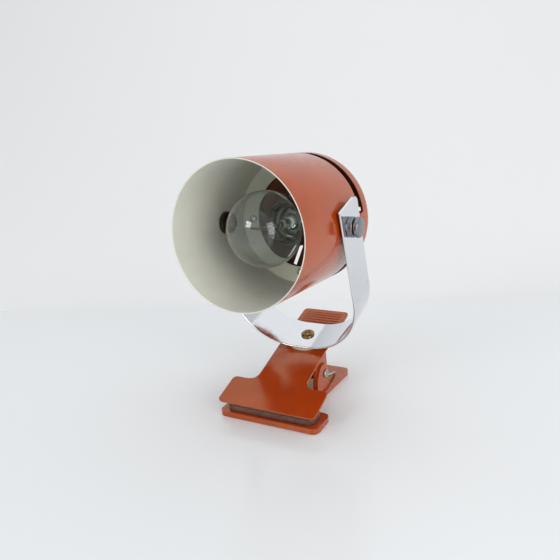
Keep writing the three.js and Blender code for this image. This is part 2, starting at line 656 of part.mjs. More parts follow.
const capR = 13.1;
part('bulb_cap',
  turned([
    [BULB_NECK_R, BULB_CAP_START], [capR + 0.1, BULB_CAP_START], [capR, BULB_CAP_START + 3], [capR, BULB_CAP_END - 4],
    [7, BULB_CAP_END], [6.4, BULB_CAP_END - 0.6], [capR - 0.6, BULB_CAP_END - 4.6], [capR - 0.6, BULB_CAP_START + 3.6],
    [BULB_NECK_R, BULB_CAP_START + 3.2]
  ], true),
  brass, headFrame);
part('bulb_insulator',
  turned([[2.6, BULB_CAP_END + 2.4], [6.6, BULB_CAP_END + GAP], [5.6, BULB_CAP_END + GAP], [2.6, BULB_CAP_END + 1.2]],
    true),
  bakelite, headFrame);
part('bulb_contact',
  turned([
    [0, BULB_CAP_END + 1], [2.2, BULB_CAP_END + 1], [2.2, BULB_CAP_END + 2.8], [1.6, BULB_CAP_END + 3.4],
    [0, BULB_CAP_END + 3.6]
  ]),
  brass, headFrame);

// ---- the frame's origin is the middle of the whole lamp's footprint, on the surface it stands on --

lamp.updateMatrixWorld(true);
const box = new THREE.Box3().setFromObject(lamp, true);
lamp.position.y = -(box.min.y + box.max.y) / 2;

export default lamp;
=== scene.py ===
import json
import math

import bmesh
import bpy
import numpy as np
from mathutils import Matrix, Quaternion, Vector


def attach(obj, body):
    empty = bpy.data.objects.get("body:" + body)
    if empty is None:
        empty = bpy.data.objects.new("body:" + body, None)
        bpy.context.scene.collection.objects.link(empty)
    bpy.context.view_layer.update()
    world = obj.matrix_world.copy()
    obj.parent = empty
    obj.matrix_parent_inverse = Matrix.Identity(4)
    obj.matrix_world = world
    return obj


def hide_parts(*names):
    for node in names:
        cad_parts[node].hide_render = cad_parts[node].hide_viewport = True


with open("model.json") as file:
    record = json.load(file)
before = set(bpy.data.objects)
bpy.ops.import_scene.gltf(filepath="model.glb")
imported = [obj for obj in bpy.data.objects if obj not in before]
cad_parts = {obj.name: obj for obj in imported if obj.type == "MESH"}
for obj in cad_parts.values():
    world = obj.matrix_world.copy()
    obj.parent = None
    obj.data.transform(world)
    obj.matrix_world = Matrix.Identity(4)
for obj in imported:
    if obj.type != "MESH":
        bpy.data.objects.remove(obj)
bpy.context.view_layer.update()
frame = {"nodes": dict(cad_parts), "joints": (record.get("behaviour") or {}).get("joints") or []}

# ---- Where the lamp turns ----------------------------------------------------------------
# The clamp's hinge, the yoke's swivel and the shade's tilt are the joints of the CAD model.
# The shade is a drawn can: its axis runs back from the rim, square to the pivot axis.
MM = 0.001
joints = {joint["name"]: joint for joint in frame["joints"]}
PIVOT_FROM_RIM = 63.9 * MM
pivot = np.array(joints["head_tilt"]["pos_m"])
shade_axis = -np.array(joints["bulb_turn"]["axis"])
shade_axis /= np.linalg.norm(shade_axis)
rim_centre = pivot - PIVOT_FROM_RIM * shade_axis
yoke_base = np.array(joints["yoke_swivel"]["pos_m"])
swivel_axis = np.array(joints["yoke_swivel"]["axis"])
swivel_axis /= np.linalg.norm(swivel_axis)
pin_centre = np.array(joints["clamp_open"]["pos_m"])
ACROSS = np.array([1.0, 0.0, 0.0])
strip_back = np.cross(swivel_axis, ACROSS)      # along the strip's width, towards the handle
shade_down = np.cross(shade_axis, ACROSS)       # square to the shade's axis, towards the table

# ---- Camera ------------------------------------------------------------------------------
# A short telephoto view from the front right, a little above the shade and slightly rolled.
# It aims near the yoke's front, between the shade and the clamp.
CAMERA_AZIMUTH = math.radians(29.28)
CAMERA_ELEVATION = math.radians(16.2)
CAMERA_ROLL = math.radians(-4.01)
CAMERA_DISTANCE = 450 * MM
CAMERA_AIM = Vector(pivot.tolist()) + Vector((-1.3, -5.4, -41.23)) * MM
FOCAL_LENGTH = 38.57

camera = bpy.data.objects.new("camera", bpy.data.cameras.new("camera"))
bpy.context.scene.collection.objects.link(camera)
looking = Vector((
    -math.sin(CAMERA_AZIMUTH) * math.cos(CAMERA_ELEVATION),
    math.cos(CAMERA_AZIMUTH) * math.cos(CAMERA_ELEVATION),
    -math.sin(CAMERA_ELEVATION),
))
camera.location = CAMERA_AIM - CAMERA_DISTANCE * looking
camera.rotation_mode = "QUATERNION"
camera.rotation_quaternion = looking.to_track_quat("-Z", "Y") @ Quaternion((0, 0, 1), CAMERA_ROLL)
camera.data.lens = FOCAL_LENGTH
camera.data.sensor_width = 36
camera.data.clip_start = 10 * MM
bpy.context.scene.camera = camera


# ---- White table and wall ------------------------------------------------------------------
# A painted board, semi-gloss enough to give a faint mirror image of what stands on it.
# The wall behind it is only a soft bright background.
def colour(code):
    """A hex sRGB colour as the linear values that the shader takes."""
    srgb = np.array([int(code[i:i + 2], 16) for i in (1, 3, 5)]) / 255
    linear = np.where(srgb <= 0.04045, srgb / 12.92, ((srgb + 0.055) / 1.055) ** 2.4)
    return (*linear.tolist(), 1.0)


def add(tree, kind, feeds=None, inputs=None, **settings):
    """Adds one node. feeds links inputs to other nodes' outputs, inputs sets plain values."""
    node = tree.nodes.new(kind)
    for name, value in settings.items():
        setattr(node, name, value)
    for name, value in (inputs or {}).items():
        node.inputs[name].default_value = value
    for name, output in (feeds or {}).items():
        tree.links.new(output, node.inputs[name])
    return node


def new_material(name):
    """An empty node material, with its tree and its shader."""
    material = bpy.data.materials.new(name)
    material.use_nodes = True
    shader = material.node_tree.nodes["Principled BSDF"]
    return material, material.node_tree, shader


def table_paint():
    """Semi-gloss white paint: broad soft reflections, no visible grain."""
    material, _, shader = new_material("white table paint")
    shader.inputs["Base Color"].default_value = colour("#eef0f1")
    shader.inputs["Roughness"].default_value = 0.16
    shader.inputs["IOR"].default_value = 1.42
    return material


def wall_paint():
    """Matt white emulsion."""
    material, _, shader = new_material("matt white wall")
    shader.inputs["Base Color"].default_value = colour("#f4f4f4")
    shader.inputs["Roughness"].default_value = 0.9
    return material


def grid_mesh(name, points, around=False, along=False):
    """A mesh over rows and columns of points.

    around joins the last column to the first, and along joins the last row to the first.
    """
    rows, cols = points.shape[:2]
    i, j = np.meshgrid(np.arange(rows if along else rows - 1), np.arange(cols if around else cols - 1),
                       indexing="ij")
    i2, j2 = (i + 1) % rows, (j + 1) % cols
    quads = np.stack([i * cols + j, i * cols + j2, i2 * cols + j2, i2 * cols + j], -1).reshape(-1, 4)
    mesh = bpy.data.meshes.new(name)
    mesh.from_pydata(points.reshape(-1, 3).tolist(), [], quads.tolist())
    return mesh


TABLE_SIZE = 3.0
WALL_TURN = math.radians(22.05)
WALL_DISTANCE = 243 * MM
TABLE_DROP = 0.4 * MM
away = np.array([-math.sin(WALL_TURN), math.cos(WALL_TURN), 0])
aside = np.array([math.cos(WALL_TURN), math.sin(WALL_TURN), 0])


def flat_board(name, corner, side, rise, material):
    """A rectangle from one corner along two sides."""
    mesh = bpy.data.meshes.new(name)
    mesh.from_pydata([corner, corner + side, corner + side + rise, corner + rise], [], [(0, 1, 2, 3)])
    mesh.materials.append(material)
    board = bpy.data.objects.new(name, mesh)
    bpy.context.scene.collection.objects.link(board)
    return board


table_middle = np.array([0, 0, -TABLE_DROP])
flat_board("table", table_middle + WALL_DISTANCE * away - TABLE_SIZE * away - TABLE_SIZE / 2 * aside,
           TABLE_SIZE * aside, TABLE_SIZE * away, table_paint())

# The wall: level at first, then up a quarter circle, and straight up from there.
SWEEP_START = 0.35
SWEEP_R = 1.3
quarter = np.linspace(0, np.pi / 2, 33)
back = np.concatenate([[-TABLE_SIZE], SWEEP_START + SWEEP_R * np.sin(quarter), [SWEEP_START + SWEEP_R]])
height = np.concatenate([[0], SWEEP_R * (1 - np.cos(quarter)), [TABLE_SIZE]]) - 0.02
wide = np.array([-TABLE_SIZE, TABLE_SIZE])
sweep = (back[:, None, None] * away + height[:, None, None] * np.array([0, 0, 1.0])
         + wide[None, :, None] * aside)
wall_mesh = grid_mesh("wall", sweep)
wall_mesh.shade_smooth()
wall_mesh.materials.append(wall_paint())
wall = bpy.data.objects.new("wall", wall_mesh)
bpy.context.scene.collection.objects.link(wall)

# ---- Light -------------------------------------------------------------------------------
# A white room: even light from all round, a small soft key light at the front left, a large
# soft window light at the right, and the ceiling. The Standard view keeps colours as they are.
world = bpy.data.worlds.new("white room")
world.use_nodes = True
world.node_tree.nodes["Background"].inputs["Color"].default_value = colour("#f3f6f8")
world.node_tree.nodes["Background"].inputs["Strength"].default_value = 0.72
bpy.context.scene.world = world
bpy.context.scene.view_settings.view_transform = "Standard"


def soft_light(name, place, width, height, power):
    """A rectangular light, turned to face the lamp's middle."""
    light = bpy.data.lights.new(name, "AREA")
    light.shape = "RECTANGLE"
    light.size = width
    light.size_y = height
    light.energy = power
    lamp = bpy.data.objects.new(name, light)
    bpy.context.scene.collection.objects.link(lamp)
    lamp.location = place
    lamp.rotation_euler = (Vector((0, 0, 0.1)) - Vector(place)).to_track_quat("-Z", "Y").to_euler()


soft_light("key_left", (-0.45, -1.15, 0.65), 0.34, 0.34, 2.2)
soft_light("window_right", (1.25, -0.75, 0.45), 1.1, 0.9, 9)
soft_light("ceiling", (0.1, 0.3, 1.6), 2.6, 2.6, 7)


# ---- Shade -------------------------------------------------------------------------------
# A can drawn from 0.8 mm steel, with a plain rim and a coned flange turned in at its back.
# It is stove enamelled orange outside and cream white inside, with the colour break at the rim.
LONGEST_FILLET = 0.49


def filleted(corners, steps=6, ring=False):
    """A polyline through [radius, distance, fillet] corners, each corner eased by a short curve.

    A corner's curve starts and ends its fillet's length back along the two sides, at most
    LONGEST_FILLET of a side, and is the quadratic blend of the start, the corner and the end.
    """
    count = len(corners)
    points = []
    for i, (r, s, fillet) in enumerate(corners):
        corner = np.array([r, s], float)
        if fillet == 0 or (not ring and i in (0, count - 1)):
            points.append(corner[None])
            continue
        before = np.array(corners[i - 1][:2], float) - corner
        after = np.array(corners[(i + 1) % count][:2], float) - corner
        before_length, after_length = np.linalg.norm(before), np.linalg.norm(after)
        start = corner + before / before_length * min(fillet, LONGEST_FILLET * before_length)
        end = corner + after / after_length * min(fillet, LONGEST_FILLET * after_length)
        t = np.linspace(0, 1, steps + 1)[:, None]
        points.append((1 - t) ** 2 * start + 2 * t * (1 - t) * corner + t ** 2 * end)
    return np.concatenate(points) * MM


def turned(name, profile, centre, axis, ring=False, facets=128):
    """A profile of (radius, distance) points carried round an axis.

    Each point goes to centre + distance * axis + radius * (cos a * side + sin a * up), for a
    from 0 to a full turn. A ring's profile closes on itself, and others end on the axis.
    """
    axis = np.array(axis, float) / np.linalg.norm(axis)
    side = np.cross(axis, ACROSS if abs(axis[0]) < 0.9 else np.array([0, 0, 1.0]))
    side /= np.linalg.norm(side)
    up = np.cross(axis, side)
    a = np.linspace(0, 2 * np.pi, facets, endpoint=False)[None, :, None]
    r, s = profile[:, 0][:, None, None], profile[:, 1][:, None, None]
    points = np.array(centre) + s * axis + r * (np.cos(a) * side + np.sin(a) * up)
    return grid_mesh(name, points, around=True, along=ring)


WELD_DISTANCE = 2e-6
SHARP_ANGLE = math.radians(40)


def piece(mesh, body, materials, nodes=()):
    """Welds a mesh, turns its faces out, smooths it, and fixes it to a body of the lamp."""
    bm = bmesh.new()
    bm.from_mesh(mesh)
    bmesh.ops.remove_doubles(bm, verts=bm.verts, dist=WELD_DISTANCE)
    bmesh.ops.recalc_face_normals(bm, faces=bm.faces)
    bm.to_mesh(mesh)
    bm.free()
    mesh.shade_smooth()
    mesh.set_sharp_from_angle(angle=SHARP_ANGLE)
    for material in materials:
        mesh.materials.append(material)
    thing = bpy.data.objects.new(mesh.name, mesh)
    bpy.context.scene.collection.objects.link(thing)
    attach(thing, body)
    if nodes:
        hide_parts(*nodes)
    return thing


def bumped(tree, shader, height, depth):
    """Gives a shader a relief from a height pattern, depth metres from valley to peak."""
    bump = add(tree, "ShaderNodeBump", {"Height": height}, {"Strength": 1.0, "Distance": depth})
    tree.links.new(bump.outputs["Normal"], shader.inputs["Normal"])


def speckle(tree, size, detail=2.0, roughness=0.5):
    """A noise of the given grain size in metres, on the piece's own coordinates."""
    place = add(tree, "ShaderNodeTexCoord")
    noise = add(tree, "ShaderNodeTexNoise", {"Vector": place.outputs["Object"]},
                {"Scale": 1 / size, "Detail": detail, "Roughness": roughness})
    return noise.outputs["Fac"]


def spread(tree, value, low, high, to_low, to_high):
    """Maps a value's range to another, held at both ends."""
    node = add(tree, "ShaderNodeMapRange", {"Value": value},
               {"From Min": low, "From Max": high, "To Min": to_low, "To Max": to_high})
    return node.outputs["Result"]


def blended(tree, factor, first, second):
    """A colour between two hex colours."""
    node = add(tree, "ShaderNodeMix", {"Factor": factor}, data_type="RGBA")
    node.inputs["A"].default_value = colour(first)
    node.inputs["B"].default_value = colour(second)
    return node.outputs["Result"]


def enamel(name, main, shaded, roughness, orange_peel, ior=1.5):
    """Stove enamel, sprayed and baked: orange peel, dust nibs and rubbed spots, and a warm shine.

    A higher ior gives the skin a stronger shine.
    """
    material, tree, shader = new_material(name)
    drift = speckle(tree, 24 * MM)
    tree.links.new(blended(tree, spread(tree, drift, 0.35, 0.65, 0, 1), main, shaded),
                   shader.inputs["Base Color"])
    handled = speckle(tree, 9 * MM, detail=5, roughness=0.65)
    tree.links.new(spread(tree, handled, 0.45, 0.75, roughness, roughness + 0.1),
                   shader.inputs["Roughness"])
    peel = speckle(tree, 1.6 * MM, detail=1)
    nibs = spread(tree, speckle(tree, 1.1 * MM, detail=0), 0.76, 0.86, 0, 1.2)
    relief = add(tree, "ShaderNodeMath", {0: peel, 1: nibs}, operation="ADD")
    bumped(tree, shader, relief.outputs["Value"], orange_peel)
    shader.inputs["IOR"].default_value = ior
    shader.inputs["Specular Tint"].default_value = colour("#fff6c4")
    return material


orange_enamel = enamel("orange stove enamel", "#ab4012", "#a33a10", 0.14, 0.012 * MM, ior=1.7)
cream_enamel = enamel("cream stove enamel", "#e2e1d6", "#dcdbcf", 0.34, 0.010 * MM)
# Dark red-brown for the cap's inside: painted shade, standing in for the little light that reaches it.
cap_inside_painted_shade = enamel("dark red-brown as painted shade, matt", "#5a2716", "#4c2012", 0.45, 0.014 * MM)

SHADE_R = 51.0
SHADE_WALL = 0.8
SHADE_LENGTH = 90.6
FLANGE_OPENING_R = 37.9
FLANGE_DEPTH = 3.8
flange_r = SHADE_R - SHADE_WALL - 0.9
flange_slope = FLANGE_DEPTH / (flange_r - FLANGE_OPENING_R)


def flange_front(r):
    """How far behind the rim the flange's front face is, at a radius, in millimetres."""
    return SHADE_LENGTH + 0.5 + (flange_r - r) * flange_slope


flange_back = flange_front(FLANGE_OPENING_R) + SHADE_WALL + 0.05
can_profile = filleted([
    (SHADE_R, 0, 0.3),
    (SHADE_R, SHADE_LENGTH + 1.3, 1.6),
    (FLANGE_OPENING_R, flange_back, 0.25),
    (FLANGE_OPENING_R, flange_back - SHADE_WALL, 0.25),
    (SHADE_R - SHADE_WALL, flange_front(flange_r) - 0.3, 1.2),
    (SHADE_R - SHADE_WALL, 0, 0.3),
], ring=True)


def inside_out(thing, inner):
    """Gives a second material to the faces that look to the shade's axis or out of its mouth.

    With n a face's normal, e the way out from the axis at its centre, and a the axis back from
    the rim, these are the faces where n . e + n . a is under 0.3. The rim's outer edge stays out.
    """
    mesh = thing.data
    centres, normals = np.empty((2, len(mesh.polygons) * 3))
    mesh.polygons.foreach_get("center", centres)
    mesh.polygons.foreach_get("normal", normals)
    offset = centres.reshape(-1, 3) - rim_centre
    normals = normals.reshape(-1, 3)
    outward = offset - (offset @ shade_axis)[:, None] * shade_axis
    outward /= np.linalg.norm(outward, axis=1)[:, None]
    back = normals @ shade_axis
    out = np.einsum("ij,ij->i", normals, outward)
    mesh.materials.append(inner)
    mesh.polygons.foreach_set("material_index", (out + back < 0.3).astype(np.int32))


shade = piece(turned("shade", can_profile, rim_centre, shade_axis, ring=True, facets=256),
              "head", [orange_enamel], ["shade_can"])
inside_out(shade, cream_enamel)


# ---- Rear cap ----------------------------------------------------------------------------
# A shallow dish pressed from the same sheet. Four tabs of it bridge the vent and turn in
# behind the flange, where a rivet holds each. It has three vent slots. Its inside is painted
# a dark red-brown, which is painted shade for the dim hollow behind the flange.
VENT_WIDTH = 9.2
CAP_SKIRT = 6.1
CAP_CORNER_R = 9.0
CAP_DOME = 1.6
TAB_WIDTH = 12.0
TAB_RIVET_R = 41.9
cap_front = SHADE_LENGTH + VENT_WIDTH
cap_back = cap_front + CAP_SKIRT + CAP_CORNER_R
cap_hole = 5.3
dish_profile = filleted([
    (SHADE_R, cap_front, 0.25),
    (SHADE_R, cap_back, 11),
    (cap_hole, cap_back + CAP_DOME, 0),
    (cap_hole, cap_back + CAP_DOME - SHADE_WALL, 0),
    (SHADE_R - SHADE_WALL, cap_back - SHADE_WALL, 10.2),
    (SHADE_R - SHADE_WALL, cap_front, 0.25),
], steps=12, ring=True)
SLOT_ANGLES = np.radians([111, 231, 351])
SLOT_RADII = (26, 43.5)
SLOT_WIDTH = 3


def way_out(turn):
    """The direction out from the shade's axis, at an angle round it that starts at ACROSS."""
    return np.cos(turn) * ACROSS + np.sin(turn) * shade_down


def slot_blocks():
    """Three blocks, one where each radial slot goes, deeper than the sheet."""
    out = way_out(SLOT_ANGLES[:, None])
    side = np.cross(shade_axis, out)
    across = (-SLOT_WIDTH / 2, SLOT_WIDTH / 2)
    through = (cap_back - 5, cap_back + 5)
    r, y, s = np.array(np.meshgrid(SLOT_RADII, across, through, indexing="ij")) * MM
    corners = (rim_centre + r.reshape(-1, 1) * out[:, None] + y.reshape(-1, 1) * side[:, None]
               + s.reshape(-1, 1) * shade_axis)
    sides = np.array([(0, 1, 3, 2), (4, 6, 7, 5), (0, 4, 5, 1), (2, 3, 7, 6), (0, 2, 6, 4), (1, 5, 7, 3)])
    mesh = bpy.data.meshes.new("slot_blocks")
    faces = sides + 8 * np.arange(3)[:, None, None]
    mesh.from_pydata(corners.reshape(-1, 3).tolist(), [], faces.reshape(-1, 4).tolist())
    return mesh


def cut_away(mesh, blocks):
    """A closed mesh less other closed blocks."""
    things = []
    for part in (mesh, blocks):
        bm = bmesh.new()
        bm.from_mesh(part)
        bmesh.ops.recalc_face_normals(bm, faces=bm.faces)
        bm.to_mesh(part)
        bm.free()
        things.append(bpy.data.objects.new(part.name, part))
        bpy.context.scene.collection.objects.link(things[-1])
    cut = things[0].modifiers.new("slots", "BOOLEAN")
    cut.operation = "DIFFERENCE"
    cut.object = things[1]
    graph = bpy.context.evaluated_depsgraph_get()
    result = bpy.data.meshes.new_from_object(things[0].evaluated_get(graph))
    for thing in things:
        bpy.data.objects.remove(thing)
    result.name = "rear_cap_dish"
    return result


dish = turned("dish_blank", dish_profile, rim_centre, shade_axis, ring=True, facets=256)
cap = piece(cut_away(dish, slot_blocks()), "head", [orange_enamel], ["rear_cap"])
# The cap's inward faces take the dark red-brown, which is painted shade.
inside_out(cap, cap_inside_painted_shade)


def tab_mesh(name, turn):
    """A strip of the can's wall, carried forward over the vent and turned in along the flange.

    The strip's middle line is a filleted path of (radius, distance). Each point of a closed
    section, thickness by width, moves out from the path along its normal and sideways along
    the tab's width, with the radius kept so that the strip follows the can.
    """
    foot = FLANGE_OPENING_R + 0.9
    gap = 1.55                                  # the flange's thickness and half the tab's
    path = filleted([
        (SHADE_R - SHADE_WALL / 2, cap_front - 0.02, 0),
        (SHADE_R - SHADE_WALL / 2, flange_front(flange_r) + gap + 0.4, 1.6),
        (foot, flange_front(foot) + gap, 0),
    ], steps=8)
    path = np.concatenate([path[:1], np.linspace(path[0], path[1], 6)[:-1], path[1:-1],
                           np.linspace(path[-2], path[-1], 6), path[-1:]])
    step = np.gradient(path, axis=0)
    step /= np.linalg.norm(step, axis=1)[:, None]
    normal = np.stack([-step[:, 1], step[:, 0]], 1)
    normal[[0, -1]] = 0                         # both ends close on the middle line
    across = np.linspace(-1, 1, 15)
    face = np.stack([across, np.ones(15)], 1)
    section = np.concatenate([face, -face])
    root = np.exp(-(cap_front * MM - path[:, 1]) / (0.9 * MM))
    half = (TAB_WIDTH / 2 + 1.3 * root) * MM
    thick = section[None, :, 1, None] * normal[:, None] * SHADE_WALL / 2 * MM
    flat = path[:, None] + thick
    y = section[None, :, 0] * half[:, None]
    x = np.sqrt(flat[..., 0] ** 2 - y ** 2)
    out = way_out(turn)
    side = np.cross(shade_axis, out)
    points = rim_centre + x[..., None] * out + y[..., None] * side + flat[..., 1, None] * shade_axis
    return grid_mesh(name, points, around=True)


def rivet_place(turn):
    """The centre and the axis of a rivet, square to the coned flange."""
    out = way_out(turn)
    lean = math.atan(flange_slope)
    centre = rim_centre + TAB_RIVET_R * MM * out + flange_front(TAB_RIVET_R) * MM * shade_axis
    return centre, math.cos(lean) * shade_axis + math.sin(lean) * out


def drawn_steel(name, tint, roughness, line):
    """Bright metal, drawn, turned or cold headed: fine streaks and a faint tarnish."""
    material, tree, shader = new_material(name)
    tarnish = speckle(tree, 3 * MM, detail=4)
    tree.links.new(blended(tree, spread(tree, tarnish, 0.4, 0.75, 0, 0.6), tint, "#7d7468"),
                   shader.inputs["Base Color"])
    shader.inputs["Metallic"].default_value = 1.0
    streak = speckle(tree, line, detail=2)
    tree.links.new(spread(tree, streak, 0.3, 0.7, roughness, roughness + 0.12), shader.inputs["Roughness"])
    bumped(tree, shader, streak, 0.004 * MM)
    return material


rivet_steel = drawn_steel("bright steel, cold headed", "#bdb9b0", 0.22, 0.4 * MM)
tab_rivet_profile = filleted([
    (0, -1.5, 0), (1.5, -1.5, 0.8), (2.9, -0.7, 0.5), (2.9, -0.2, 0.2), (1.6, -0.2, 0),
    (1.6, 2.6, 0), (2.6, 2.6, 0.2), (2.4, 3.4, 0.6), (0, 3.6, 0),
])
for i in range(4):
    quarter_turn = i * np.pi / 2
    piece(tab_mesh(f"cap_tab_{i + 1}", quarter_turn), "head", [orange_enamel])
    centre, axis = rivet_place(quarter_turn)
    piece(turned(f"tab_rivet_{i + 1}", tab_rivet_profile, centre, axis, facets=48), "head",
          [rivet_steel], [f"cap_rivet_{i + 1}"])

# ---- Yoke --------------------------------------------------------------------------------
# A 33 by 1.6 mm steel strip with rounded edges, bent to a U over a former and chromium plated.
# Each arm's end is sheared square, its rear corner well rounded.
STRIP_WIDTH = 33.0
STRIP_T = 1.6
YOKE_HALF_WIDTH = 53.2
YOKE_BEND_R = 47.0
ARM_OVERRUN = 16.2
ARM_FRONT_CORNER = 1.2
ARM_REAR_CORNER = 7.5
YOKE_STANDOFF = 2.6
pivot_height = float((pivot - yoke_base) @ swivel_axis) / MM


def arm_end(w):
    """The height of an arm's end above the pivot, at a place across the strip, in millimetres.

    It is square to the arm. Near either edge the corner's circle takes it down.
    """
    end = np.full(w.shape, ARM_OVERRUN)
    for distance, corner in ((STRIP_WIDTH / 2 + w, ARM_FRONT_CORNER),
                             (STRIP_WIDTH / 2 - w, ARM_REAR_CORNER)):
        inside = np.clip(corner - distance, 0, corner)
        end -= corner - np.sqrt(corner ** 2 - inside ** 2)
    return end


def yoke_mesh():
    """The strip's rounded section carried along a U: flat base, quarter circle, straight arm.

    For a section point at w across and n out, the place along the U runs from one arm's end
    to the other's, and the point is the U's place plus n along its normal. Both ends close
    on the strip's middle surface.
    """
    edge = STRIP_T / 2
    inner_w = STRIP_WIDTH / 2 - edge
    flat_w = inner_w * np.sin(np.linspace(-np.pi / 2, np.pi / 2, 41))
    bow = np.linspace(-np.pi / 2, np.pi / 2, 9)[1:-1]
    round_w = inner_w + edge * np.cos(bow)
    w = np.concatenate([flat_w, round_w, flat_w[::-1], -round_w])
    n = np.concatenate([np.full(41, edge), -edge * np.sin(bow), np.full(41, -edge), edge * np.sin(bow)])
    flat = YOKE_HALF_WIDTH - YOKE_BEND_R
    arc = YOKE_BEND_R * np.pi / 2
    arm = pivot_height - YOKE_BEND_R + arm_end(w)
    place = np.concatenate([np.linspace(0, flat, 5)[:-1], np.linspace(flat, flat + arc, 65)[:-1],
                            flat + arc + np.linspace(0, 1, 25), [flat + arc + 1]])
    n = np.where(np.arange(len(place))[:, None] == len(place) - 1, 0, n)
    reach = np.clip(place - flat - arc, 0, 1)[:, None] * arm
    a = np.clip((place - flat) / YOKE_BEND_R, 0, np.pi / 2)[:, None]
    x = np.minimum(place, flat)[:, None] + (YOKE_BEND_R + n) * np.sin(a)
    u = YOKE_BEND_R - (YOKE_BEND_R + n) * np.cos(a) + reach
    x = np.concatenate([-x[::-1], x[1:]])[..., None] * MM
    u = np.concatenate([u[::-1], u[1:]])[..., None] * MM
    return grid_mesh("yoke_strip", yoke_base + x * ACROSS + u * swivel_axis
                     + w[None, :, None] * MM * strip_back, around=True)


def bright_chrome():
    """Chromium over nickel on rolled strip: a cool mirror, wiped dull in places, with a few pits."""
    material, tree, shader = new_material("bright chromium plate")
    shader.inputs["Base Color"].default_value = colour("#e1e3e7")
    shader.inputs["Metallic"].default_value = 1.0
    wiped = speckle(tree, 5 * MM, detail=6, roughness=0.7)
    tree.links.new(spread(tree, wiped, 0.45, 0.8, 0.07, 0.22), shader.inputs["Roughness"])
    waves = speckle(tree, 7 * MM, detail=1)
    pits = spread(tree, speckle(tree, 0.7 * MM, detail=0), 0.8, 0.88, 0, -0.5)
    relief = add(tree, "ShaderNodeMath", {0: waves, 1: pits}, operation="ADD")
    bumped(tree, shader, relief.outputs["Value"], 0.012 * MM)
    return material


chrome = bright_chrome()
piece(yoke_mesh(), "yoke", [chrome], ["yoke"])

# ---- Swivel ------------------------------------------------------------------------------
# A hollow brass rivet holds the yoke to the upper lever, with a wide nylon washer between.
# The rivet's rolled head is dulled with handling, and its hollow is dark.
def handled_brass(name, main, worn, roughness):
    """Brass left bare: a brown film, thinner where fingers reach it, over a fine turned grain."""
    material, tree, shader = new_material(name)
    film = speckle(tree, 1.8 * MM, detail=5, roughness=0.6)
    tree.links.new(blended(tree, spread(tree, film, 0.38, 0.66, 0, 1), main, worn),
                   shader.inputs["Base Color"])
    shader.inputs["Metallic"].default_value = 1.0
    tree.links.new(spread(tree, film, 0.35, 0.7, roughness, roughness + 0.2), shader.inputs["Roughness"])
    bumped(tree, shader, speckle(tree, 0.5 * MM, detail=2), 0.006 * MM)
    return material


def moulded(name, main, shaded, roughness, grain, depth):
    """A moulded plastic or pressed fibre: even colour, a fine skin, and a little grime."""
    material, tree, shader = new_material(name)
    grime = speckle(tree, 6 * MM, detail=4)
    tree.links.new(blended(tree, spread(tree, grime, 0.4, 0.7, 0, 1), main, shaded),
                   shader.inputs["Base Color"])
    tree.links.new(spread(tree, grime, 0.3, 0.7, roughness, roughness + 0.12),
                   shader.inputs["Roughness"])
    bumped(tree, shader, speckle(tree, grain, detail=3), depth)
    return material


old_brass = handled_brass("bare brass, dulled", "#a58d5e", "#7d6440", 0.28)
nylon = moulded("moulded nylon, yellowed", "#cfc6ac", "#bcb193", 0.42, 0.6 * MM, 0.006 * MM)
strip_top = STRIP_T / 2
LEVER_SHEET = 1.5
lever_top = -YOKE_STANDOFF
lever_under = lever_top - LEVER_SHEET
swivel_profile = filleted([
    (2.1, strip_top + 1.7, 0.5), (3.4, strip_top + 2.15, 0.8), (5.5, strip_top + 1.3, 1.0),
    (5.5, strip_top, 0.3), (3.2, strip_top, 0), (3.2, lever_under, 0), (4.8, lever_under, 0),
    (4.8, lever_under - 0.9, 0.4), (2.1, lever_under - 1.3, 0.4),
], ring=True)
piece(turned("swivel_rivet_head", swivel_profile, yoke_base, swivel_axis, ring=True, facets=64),
      "yoke", [old_brass], ["swivel_rivet"])
disc_profile = filleted([
    (3.6, lever_top + 0.1, 0.1), (17.5, lever_top + 0.1, 0.4), (17.5, lever_top + 1.75, 0.5),
    (3.6, lever_top + 1.75, 0.1),
], ring=True)
piece(turned("swivel_washer_disc", disc_profile, yoke_base, swivel_axis, ring=True, facets=96),
      "yoke", [nylon], ["swivel_washer"])

# ---- Pivots ------------------------------------------------------------------------------
# On each side a stud runs through the arm and the can. Outside it has a turned collar and a
# thumb knob, nickel plated, and inside a thick fibre washer and a brass nut.
fibre = moulded("pressed fibre, brown", "#3a2218", "#2a1710", 0.55, 0.35 * MM, 0.02 * MM)
arm_inside = YOKE_HALF_WIDTH - STRIP_T / 2
arm_outside = YOKE_HALF_WIDTH + STRIP_T / 2
KNOB_R = 7.35
STUD_R = 2.4
KNOB_PROJECTION = 8.5
knob_end = arm_outside + KNOB_PROJECTION
nut_face = SHADE_R - SHADE_WALL - 4.1
STUD_HOLE_R = 2.6
collar_profile = filleted([
    (STUD_HOLE_R, arm_outside + 0.1, 0), (KNOB_R, arm_outside + 0.1, 0.7),
    (KNOB_R, arm_outside + 4.2, 0.8), (STUD_HOLE_R, arm_outside + 4.2, 0),
], ring=True)
knob_profile = filleted([
    (0, nut_face - 4.4, 0), (STUD_R, nut_face - 4.4, 0.6), (STUD_R, arm_outside + 4.6, 0),
    (5.4, arm_outside + 4.6, 0), (5.4, arm_outside + 5.5, 0.2), (KNOB_R, arm_outside + 5.5, 0.7),
    (KNOB_R, knob_end, 1.6), (0, knob_end + 0.3, 0),
])
spacer_profile = filleted([
    (STUD_HOLE_R, SHADE_R + 0.1, 0), (7, SHADE_R + 0.1, 0.2), (7, arm_inside - 0.1, 0.2),
    (STUD_HOLE_R, arm_inside - 0.1, 0),
], ring=True)
washer_profile = filleted([
    (STUD_HOLE_R, nut_face, 0), (8.4, nut_face, 0.6), (8.4, nut_face + 3.2, 0.3),
    (STUD_HOLE_R, nut_face + 3.2, 0),
], ring=True)
nickel = drawn_steel("turned nickel plate, dull", "#8b8d95", 0.16, 0.3 * MM)
middle = pivot * np.array([0, 1, 1])
